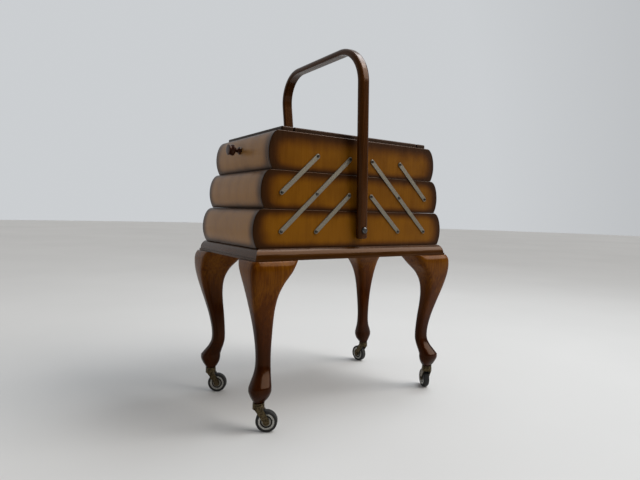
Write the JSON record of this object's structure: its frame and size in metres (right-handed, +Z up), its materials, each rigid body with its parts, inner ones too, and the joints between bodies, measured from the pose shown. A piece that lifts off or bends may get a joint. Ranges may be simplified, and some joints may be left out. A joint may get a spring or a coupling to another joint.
{
  "type": "sewing box with trays",
  "caption": "Cantilever sewing box of curved wooden tiers on cabriole legs with castors; levers swing the lidded trays outward, and a bentwood bail handle spans the middle.",
  "frame": {"origin": "on the floor, under the centre of the stand", "axes": "+Z up, +X along the long front to the right, -Y towards the front"},
  "size_m": [0.498, 0.3076, 0.7307],
  "materials": {
    "tray_veneer": "semi-gloss stained veneer, darkened towards its edges",
    "end_veneer": "semi-gloss stained veneer, worn",
    "dark_wood": "dark stained, satin",
    "moulding_wood": "dark stained, gloss",
    "leg_wood": "red-brown stained, gloss",
    "handle_wood": "bent beech, stained, gloss",
    "inner_wood": "thin plywood, matt",
    "lever_metal": "nickel-plated strip, worn",
    "screw_metal": "darkened steel",
    "hinge_metal": "aged brass",
    "castor_metal": "aged plated steel",
    "tyre_rubber": "hard black rubber"
  },
  "bodies": {
    "root": {"base_frame": "moulding_wood", "front_left_leg": "leg_wood", "rear_left_leg": "leg_wood", "front_right_leg": "leg_wood", "rear_right_leg": "leg_wood", "castor_sockets": "castor_metal", "bottom_box_side_panels": "tray_veneer", "bottom_box_ends": "end_veneer", "bottom_box_floor": "inner_wood", "bottom_pivot_screws": "screw_metal", "handle_fasteners": "screw_metal"},
    "handle": {"handle": "handle_wood"},
    "left_long_levers": {"left_long_levers": "lever_metal"},
    "left_lower_levers": {"left_lower_levers": "lever_metal"},
    "left_upper_levers": {"left_upper_levers": "lever_metal"},
    "left_middle_tray": {"left_middle_tray_side_panels": "tray_veneer", "left_middle_tray_outer_end": "end_veneer", "left_middle_tray_inner_end": "inner_wood", "left_middle_tray_floor": "inner_wood", "left_middle_tray_pivot_screws": "screw_metal"},
    "left_top_tray": {"left_top_tray_side_panels": "tray_veneer", "left_top_tray_outer_end": "end_veneer", "left_top_tray_inner_end": "inner_wood", "left_top_tray_floor": "inner_wood", "left_top_tray_pivot_screws": "screw_metal", "left_top_tray_lid_strip": "dark_wood", "left_top_tray_strip_hinges": "hinge_metal", "left_top_tray_knob": "dark_wood"},
    "left_lid": {"left_lid": "dark_wood", "left_lid_hinges": "hinge_metal"},
    "right_long_levers": {"right_long_levers": "lever_metal"},
    "right_lower_levers": {"right_lower_levers": "lever_metal"},
    "right_upper_levers": {"right_upper_levers": "lever_metal"},
    "right_middle_tray": {"right_middle_tray_side_panels": "tray_veneer", "right_middle_tray_outer_end": "end_veneer", "right_middle_tray_inner_end": "inner_wood", "right_middle_tray_floor": "inner_wood", "right_middle_tray_pivot_screws": "screw_metal"},
    "right_top_tray": {"right_top_tray_side_panels": "tray_veneer", "right_top_tray_outer_end": "end_veneer", "right_top_tray_inner_end": "inner_wood", "right_top_tray_floor": "inner_wood", "right_top_tray_pivot_screws": "screw_metal", "right_top_tray_lid_strip": "dark_wood", "right_top_tray_strip_hinges": "hinge_metal", "right_top_tray_knob": "dark_wood"},
    "right_lid": {"right_lid": "dark_wood", "right_lid_hinges": "hinge_metal"},
    "front_left_castor_fork": {"front_left_castor_fork": "castor_metal"},
    "front_left_castor_wheel": {"front_left_castor_wheel": "castor_metal", "front_left_castor_tyre": "tyre_rubber"},
    "rear_left_castor_fork": {"rear_left_castor_fork": "castor_metal"},
    "rear_left_castor_wheel": {"rear_left_castor_wheel": "castor_metal", "rear_left_castor_tyre": "tyre_rubber"},
    "front_right_castor_fork": {"front_right_castor_fork": "castor_metal"},
    "front_right_castor_wheel": {"front_right_castor_wheel": "castor_metal", "front_right_castor_tyre": "tyre_rubber"},
    "rear_right_castor_fork": {"rear_right_castor_fork": "castor_metal"},
    "rear_right_castor_wheel": {"rear_right_castor_wheel": "castor_metal", "rear_right_castor_tyre": "tyre_rubber"}
  },
  "joints": [
    {"name": "handle_swing", "type": "hinge", "parent": "root", "child": "handle", "pos_m": [0, 0, 0.368], "axis": [0, 1, 0], "range_deg": [-86.2, 93.8]},
    {"name": "left_levers", "type": "hinge", "parent": "root", "child": "left_long_levers", "pos_m": [-0.1815, 0, 0.365], "axis": [0, -1, 0], "range_deg": [0, 94.2]},
    {"name": "left_middle_tray_level", "type": "hinge", "parent": "left_long_levers", "child": "left_middle_tray", "pos_m": [-0.105, 0, 0.436], "axis": [0, -1, 0], "range_deg": [-94.2, 0]},
    {"name": "left_top_tray_level", "type": "hinge", "parent": "left_long_levers", "child": "left_top_tray", "pos_m": [-0.0285, 0, 0.507], "axis": [0, -1, 0], "range_deg": [-94.2, 0]},
    {"name": "left_lower_levers_turn", "type": "hinge", "parent": "root", "child": "left_lower_levers", "pos_m": [-0.105, 0, 0.365], "axis": [0, -1, 0], "range_deg": [0, 94.2]},
    {"name": "left_upper_levers_turn", "type": "hinge", "parent": "left_middle_tray", "child": "left_upper_levers", "pos_m": [-0.1815, 0, 0.436], "axis": [0, -1, 0], "range_deg": [0, 94.2]},
    {"name": "left_lid_hinge", "type": "hinge", "parent": "left_top_tray", "child": "left_lid", "pos_m": [-0.1571, 0, 0.5583], "axis": [0, -1, 0], "range_deg": [0, 170]},
    {"name": "right_levers", "type": "hinge", "parent": "root", "child": "right_long_levers", "pos_m": [0.1815, 0, 0.365], "axis": [0, 1, 0], "range_deg": [0, 94.2]},
    {"name": "right_middle_tray_level", "type": "hinge", "parent": "right_long_levers", "child": "right_middle_tray", "pos_m": [0.105, 0, 0.436], "axis": [0, 1, 0], "range_deg": [-94.2, 0]},
    {"name": "right_top_tray_level", "type": "hinge", "parent": "right_long_levers", "child": "right_top_tray", "pos_m": [0.0285, 0, 0.507], "axis": [0, 1, 0], "range_deg": [-94.2, 0]},
    {"name": "right_lower_levers_turn", "type": "hinge", "parent": "root", "child": "right_lower_levers", "pos_m": [0.105, 0, 0.365], "axis": [0, 1, 0], "range_deg": [0, 94.2]},
    {"name": "right_upper_levers_turn", "type": "hinge", "parent": "right_middle_tray", "child": "right_upper_levers", "pos_m": [0.1815, 0, 0.436], "axis": [0, 1, 0], "range_deg": [0, 94.2]},
    {"name": "right_lid_hinge", "type": "hinge", "parent": "right_top_tray", "child": "right_lid", "pos_m": [0.1571, 0, 0.5583], "axis": [0, 1, 0], "range_deg": [0, 170]},
    {"name": "front_left_swivel", "type": "hinge", "parent": "root", "child": "front_left_castor_fork", "pos_m": [-0.217, -0.1165, 0.05], "axis": [0, 0, 1], "continuous": true},
    {"name": "front_left_roll", "type": "hinge", "parent": "front_left_castor_fork", "child": "front_left_castor_wheel", "pos_m": [-0.20456, -0.12489, 0.02], "axis": [-0.5592, -0.829, 0], "continuous": true},
    {"name": "rear_left_swivel", "type": "hinge", "parent": "root", "child": "rear_left_castor_fork", "pos_m": [-0.217, 0.1165, 0.05], "axis": [0, 0, 1], "continuous": true},
    {"name": "rear_left_roll", "type": "hinge", "parent": "rear_left_castor_fork", "child": "rear_left_castor_wheel", "pos_m": [-0.20456, 0.10811, 0.02], "axis": [-0.5592, -0.829, 0], "continuous": true},
    {"name": "front_right_swivel", "type": "hinge", "parent": "root", "child": "front_right_castor_fork", "pos_m": [0.217, -0.1165, 0.05], "axis": [0, 0, 1], "continuous": true},
    {"name": "front_right_roll", "type": "hinge", "parent": "front_right_castor_fork", "child": "front_right_castor_wheel", "pos_m": [0.22404, -0.10326, 0.02], "axis": [0.8829, -0.4695, 0], "continuous": true},
    {"name": "rear_right_swivel", "type": "hinge", "parent": "root", "child": "rear_right_castor_fork", "pos_m": [0.217, 0.1165, 0.05], "axis": [0, 0, 1], "continuous": true},
    {"name": "rear_right_roll", "type": "hinge", "parent": "rear_right_castor_fork", "child": "rear_right_castor_wheel", "pos_m": [0.21517, 0.13139, 0.02], "axis": [0.9925, 0.1219, 0], "continuous": true}
  ],
  "couplings": [
    {"joint": "left_middle_tray_level", "follows": "left_levers", "ratio": -1},
    {"joint": "left_top_tray_level", "follows": "left_levers", "ratio": -1},
    {"joint": "left_lower_levers_turn", "follows": "left_levers", "ratio": 1},
    {"joint": "left_upper_levers_turn", "follows": "left_levers", "ratio": 1},
    {"joint": "right_middle_tray_level", "follows": "right_levers", "ratio": -1},
    {"joint": "right_top_tray_level", "follows": "right_levers", "ratio": -1},
    {"joint": "right_lower_levers_turn", "follows": "right_levers", "ratio": 1},
    {"joint": "right_upper_levers_turn", "follows": "right_levers", "ratio": 1}
  ]
}
